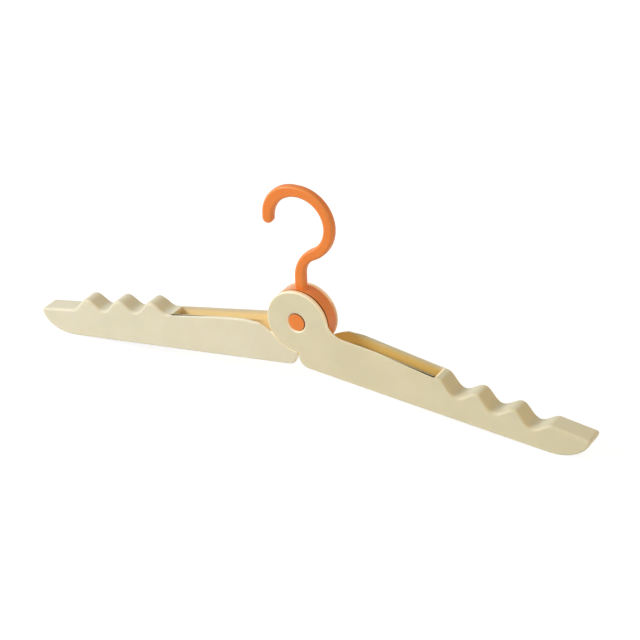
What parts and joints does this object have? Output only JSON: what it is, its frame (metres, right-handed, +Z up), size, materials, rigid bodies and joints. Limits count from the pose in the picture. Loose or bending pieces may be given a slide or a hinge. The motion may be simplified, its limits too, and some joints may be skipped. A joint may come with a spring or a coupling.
{
  "type": "folding travel hanger",
  "caption": "Clothes hanger with channel-shaped arms that fold up round the hook about a pin in its hub; waves near the tips keep straps in place.",
  "frame": {"origin": "point of the hook that sits on a rail, at the top of the loop's inner edge, straight above the pin", "axes": "+Z up, +X along the right arm as seen from the front, -Y towards the viewer, +Y along the pin"},
  "size_m": [0.4182, 0.018, 0.1473],
  "materials": {
    "arm_plastic": "satin cream polypropylene",
    "hook_plastic": "satin orange polypropylene"
  },
  "bodies": {
    "hook": {"hook": "hook_plastic", "pivot_pin": "hook_plastic", "pin_cap": "hook_plastic"},
    "right_arm": {"right_arm": "arm_plastic"},
    "left_arm": {"left_arm": "arm_plastic"}
  },
  "joints": [
    {"name": "right_arm_fold", "type": "hinge", "parent": "hook", "child": "right_arm", "pos_m": [0, 0, -0.08771], "axis": [0, -1, 0], "range_deg": [0, 100.1]},
    {"name": "left_arm_fold", "type": "hinge", "parent": "hook", "child": "left_arm", "pos_m": [0, 0, -0.08771], "axis": [0, 1, 0], "range_deg": [0, 100.1]}
  ]
}
